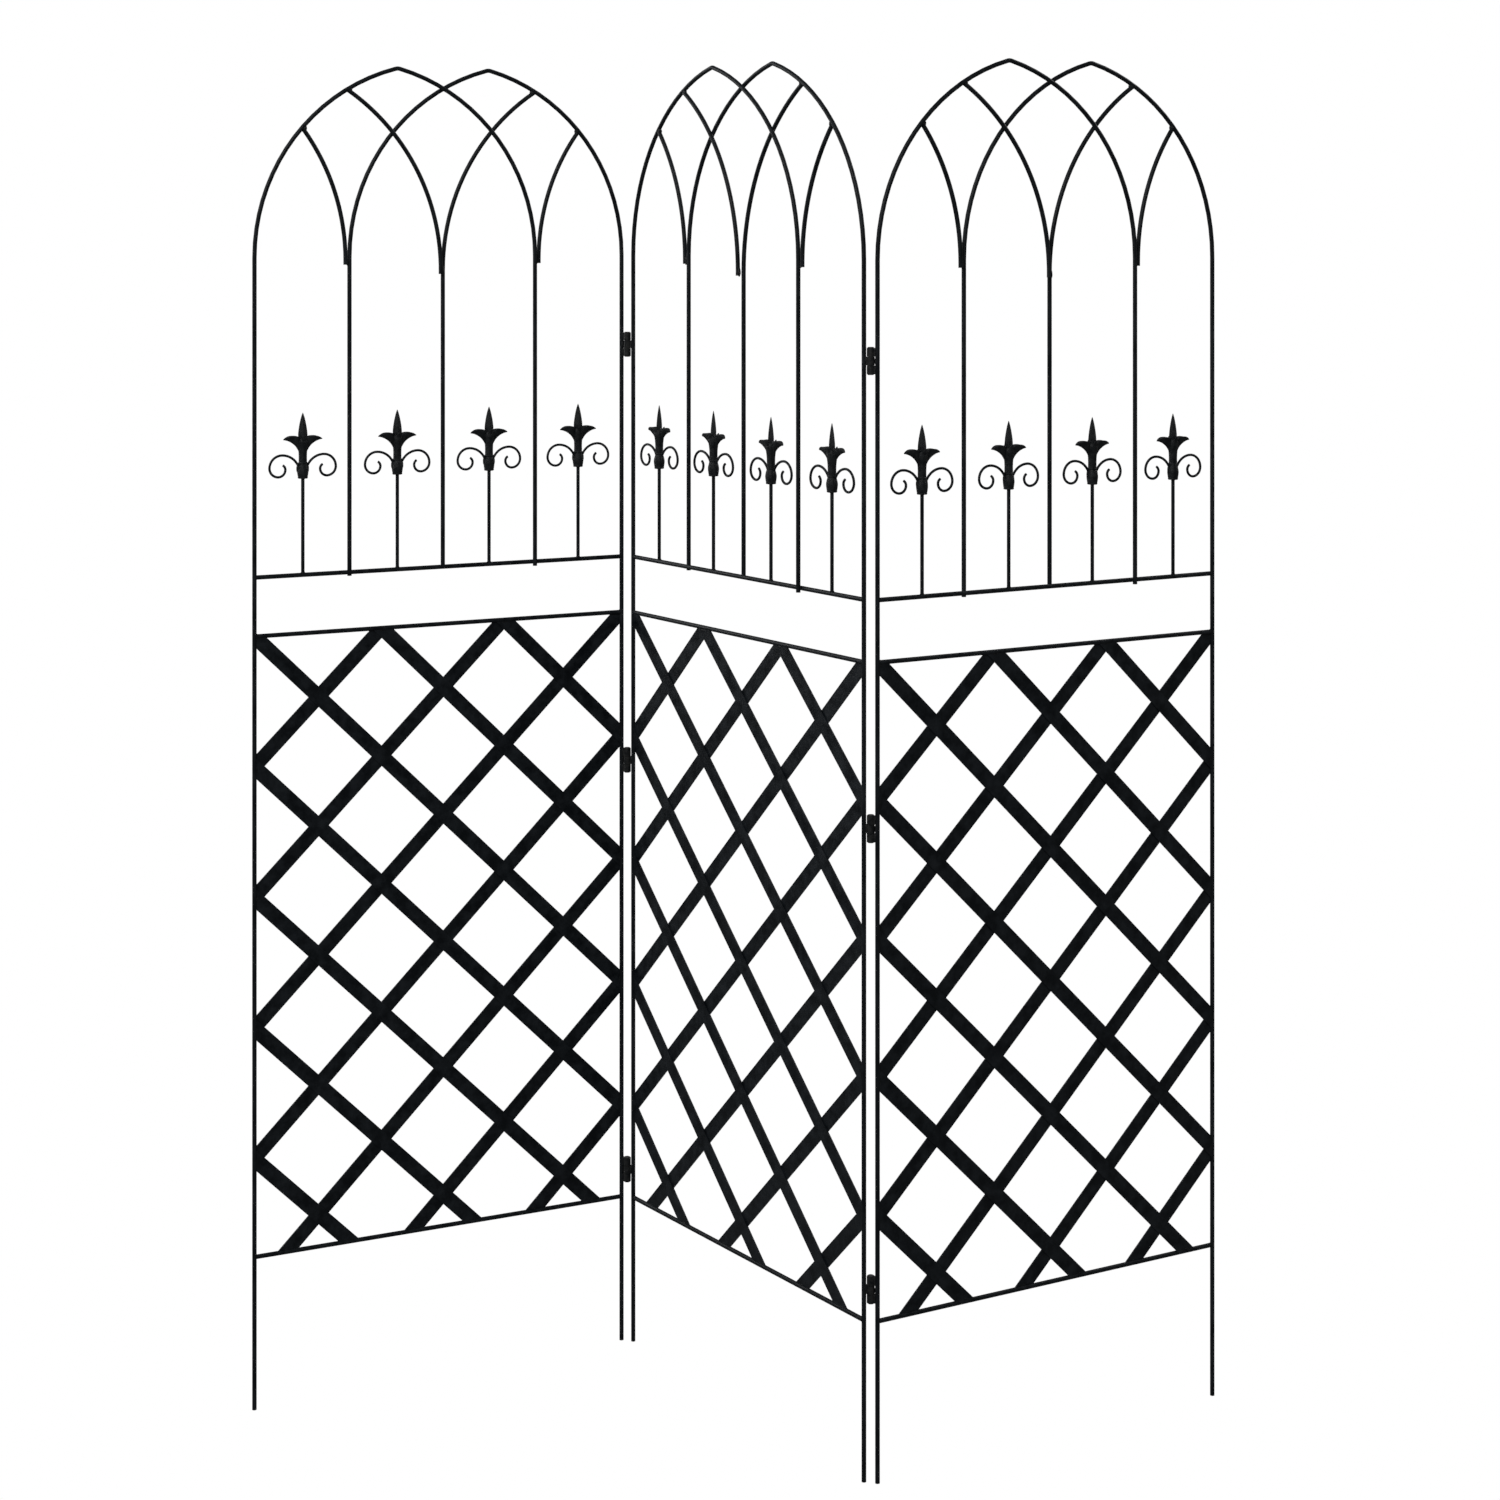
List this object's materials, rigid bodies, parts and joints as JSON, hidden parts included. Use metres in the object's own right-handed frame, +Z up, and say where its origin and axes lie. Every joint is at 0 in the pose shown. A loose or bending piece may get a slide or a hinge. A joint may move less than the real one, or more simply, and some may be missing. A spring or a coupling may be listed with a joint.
{
  "type": "folding garden trellis",
  "caption": "Freestanding folding garden trellis: hinged panels with interlaced gothic arches, spear finials over scrolls, diagonal strip lattice and plain rod feet.",
  "frame": {"origin": "on the ground, midway between the two free end posts", "axes": "+Z up; +X along the middle panel from its left post to its right post, seen from the front; the middle panel's front faces -Y"},
  "size_m": [0.7304, 1.097, 1.829],
  "materials": {
    "black_paint": "satin black paint on steel"
  },
  "bodies": {
    "middle_panel": {"middle_panel_left_arch_rod": "black_paint", "middle_panel_right_arch_rod": "black_paint", "middle_panel_centre_bar": "black_paint", "middle_panel_tall_branch": "black_paint", "middle_panel_left_short_branch": "black_paint", "middle_panel_right_short_branch": "black_paint", "middle_panel_upper_rail": "black_paint", "middle_panel_lattice_top_rail": "black_paint", "middle_panel_bottom_rail": "black_paint", "middle_panel_falling_strips": "black_paint", "middle_panel_rising_strips": "black_paint", "middle_panel_finial_stems": "black_paint", "middle_panel_finial_collars": "black_paint", "middle_panel_finial_cups": "black_paint", "middle_panel_finial_spears": "black_paint", "middle_panel_finial_scrolls": "black_paint", "left_hinge_middle_knuckles": "black_paint", "right_hinge_middle_knuckles": "black_paint"},
    "left_panel": {"left_panel_left_arch_rod": "black_paint", "left_panel_right_arch_rod": "black_paint", "left_panel_centre_bar": "black_paint", "left_panel_tall_branch": "black_paint", "left_panel_left_short_branch": "black_paint", "left_panel_right_short_branch": "black_paint", "left_panel_upper_rail": "black_paint", "left_panel_lattice_top_rail": "black_paint", "left_panel_bottom_rail": "black_paint", "left_panel_falling_strips": "black_paint", "left_panel_rising_strips": "black_paint", "left_panel_finial_stems": "black_paint", "left_panel_finial_collars": "black_paint", "left_panel_finial_cups": "black_paint", "left_panel_finial_spears": "black_paint", "left_panel_finial_scrolls": "black_paint", "left_hinge_lower_outer_knuckles": "black_paint", "left_hinge_centre_outer_knuckles": "black_paint", "left_hinge_upper_outer_knuckles": "black_paint", "left_hinge_pins": "black_paint"},
    "right_panel": {"right_panel_left_arch_rod": "black_paint", "right_panel_right_arch_rod": "black_paint", "right_panel_centre_bar": "black_paint", "right_panel_tall_branch": "black_paint", "right_panel_left_short_branch": "black_paint", "right_panel_right_short_branch": "black_paint", "right_panel_upper_rail": "black_paint", "right_panel_lattice_top_rail": "black_paint", "right_panel_bottom_rail": "black_paint", "right_panel_falling_strips": "black_paint", "right_panel_rising_strips": "black_paint", "right_panel_finial_stems": "black_paint", "right_panel_finial_collars": "black_paint", "right_panel_finial_cups": "black_paint", "right_panel_finial_spears": "black_paint", "right_panel_finial_scrolls": "black_paint", "right_hinge_lower_outer_knuckles": "black_paint", "right_hinge_centre_outer_knuckles": "black_paint", "right_hinge_upper_outer_knuckles": "black_paint", "right_hinge_pins": "black_paint"}
  },
  "joints": [
    {"name": "left_hinge", "type": "hinge", "parent": "middle_panel", "child": "left_panel", "pos_m": [-0.25931, -0.00896, 0.8], "axis": [0, 0, 1], "range_deg": [-99.8, 95.2]},
    {"name": "right_hinge", "type": "hinge", "parent": "middle_panel", "child": "right_panel", "pos_m": [0.2932, 0.00356, 0.8], "axis": [0, 0, 1], "range_deg": [-103.4, 91.6]}
  ]
}
